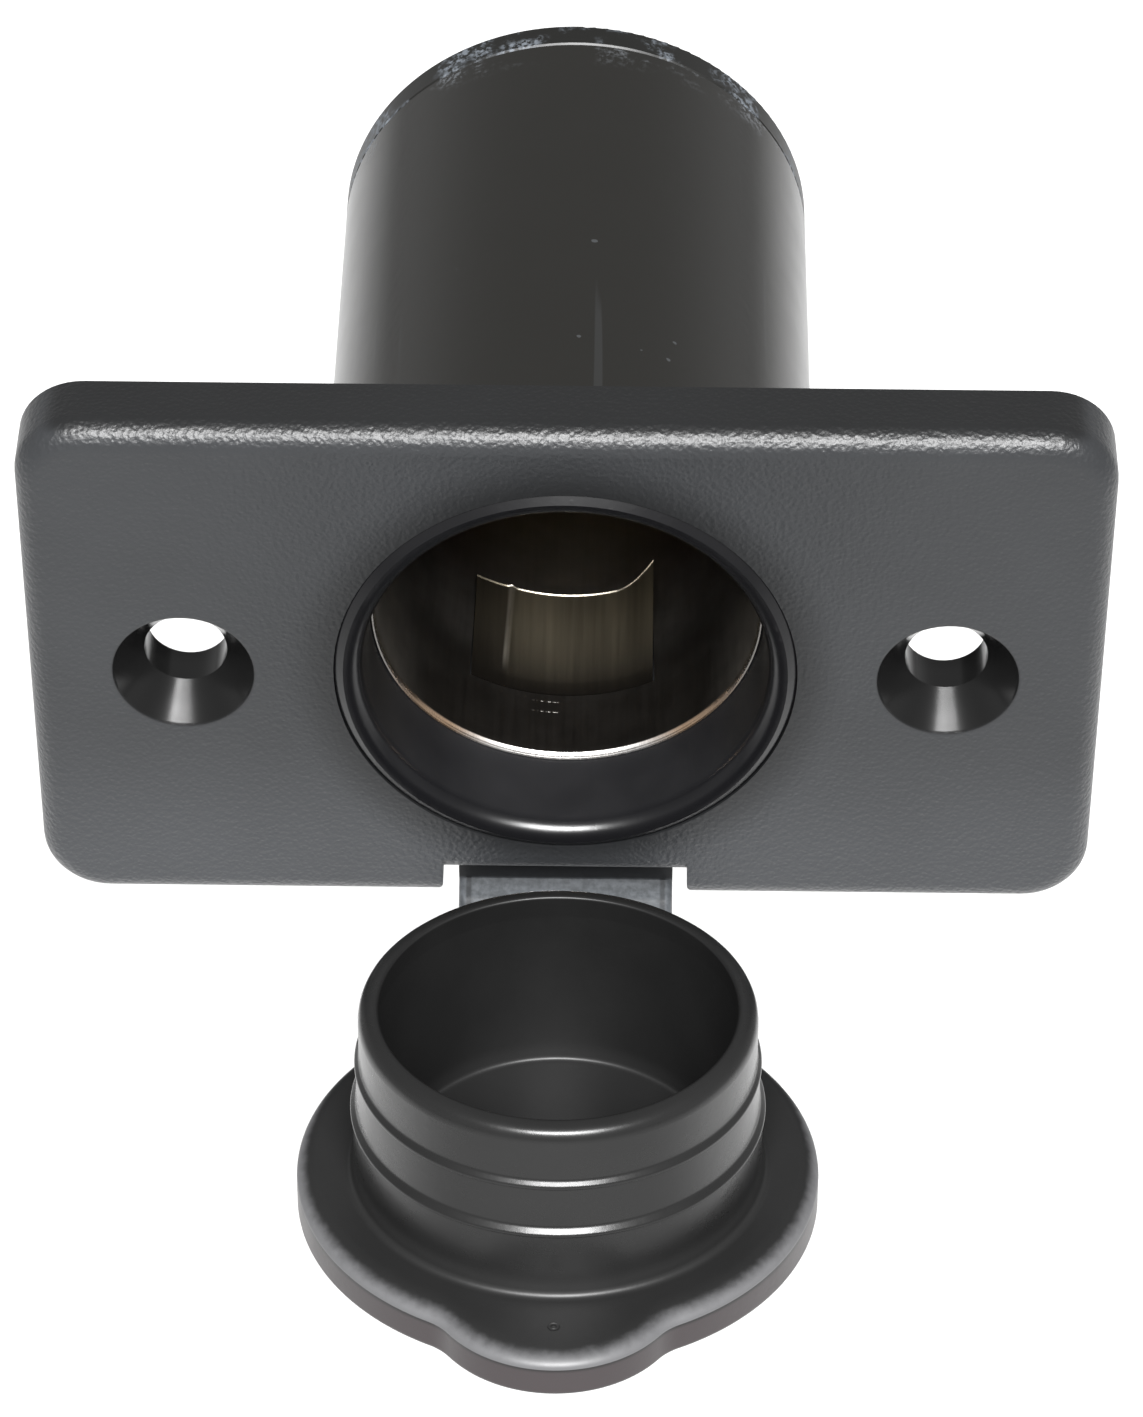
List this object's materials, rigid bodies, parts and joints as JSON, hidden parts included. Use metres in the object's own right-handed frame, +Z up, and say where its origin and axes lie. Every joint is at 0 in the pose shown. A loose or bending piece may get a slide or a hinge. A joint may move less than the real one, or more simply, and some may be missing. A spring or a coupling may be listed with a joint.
{
  "type": "vehicle accessory power socket",
  "caption": "Flush-mounted 12 V accessory socket for a vehicle: moulded face plate with screw holes, deep metal receptacle, rear barrel, and a stepped plug cap held open on a strap.",
  "frame": {"origin": "on the socket's axis, in the plane of the face plate's back, which is also the plane of the panel", "axes": "+X to the right seen from the front, +Y along the socket's axis into the panel, +Z up, away from the strap's notch"},
  "size_m": [0.0606, 0.0951, 0.0386],
  "materials": {
    "plate_plastic": "fine moulded grain, dark grey",
    "liner_plastic": "smooth satin black",
    "sleeve_nickel": "nickel plate, drawn, slightly warm",
    "spring_bronze": "plated spring bronze",
    "insulating_board": "brown pressed board",
    "contact_brass": "plain",
    "rivet_steel": "tinned",
    "terminal_brass": "stamped",
    "terminal_tin": "tinned, stamped",
    "barrel_plastic": "satin, lightly scuffed",
    "end_cap_plastic": "satin",
    "strap_plastic": "soft, matte",
    "cap_plastic": "soft, smooth satin"
  },
  "bodies": {
    "socket": {"face_plate": "plate_plastic", "socket_liner": "liner_plastic", "contact_sleeve": "sleeve_nickel", "inner_insulator": "insulating_board", "outer_insulator": "insulating_board", "centre_contact": "contact_brass", "centre_rivet": "rivet_steel", "positive_terminal": "terminal_brass", "negative_terminal": "terminal_tin", "negative_rivet": "rivet_steel", "rear_barrel": "barrel_plastic", "end_cap": "end_cap_plastic", "strap_ring": "strap_plastic"},
    "contact_leaf": {"side_spring": "spring_bronze"},
    "strap": {"cap_strap": "strap_plastic"},
    "cap": {"plug_cap": "cap_plastic"}
  },
  "joints": [
    {"name": "side_spring_flex", "type": "hinge", "parent": "socket", "child": "contact_leaf", "pos_m": [0, 0.0066, -0.01095], "axis": [-1, 0, 0], "range_deg": [0, 5.5], "stiffness_Nm_per_rad": 0.25},
    {"name": "cap_push", "type": "slide", "parent": "socket", "child": "strap", "axis": [0, 1, 0], "range_m": [0, 0.01035], "stiffness_N_per_m": 20, "deforming": ["cap_strap"]},
    {"name": "cap_hinge", "type": "hinge", "parent": "strap", "child": "cap", "pos_m": [0, -0.01635, -0.01475], "axis": [1, 0, 0], "range_deg": [-83.66, 80], "stiffness_Nm_per_rad": 0.018, "deforming": ["cap_strap"]}
  ]
}
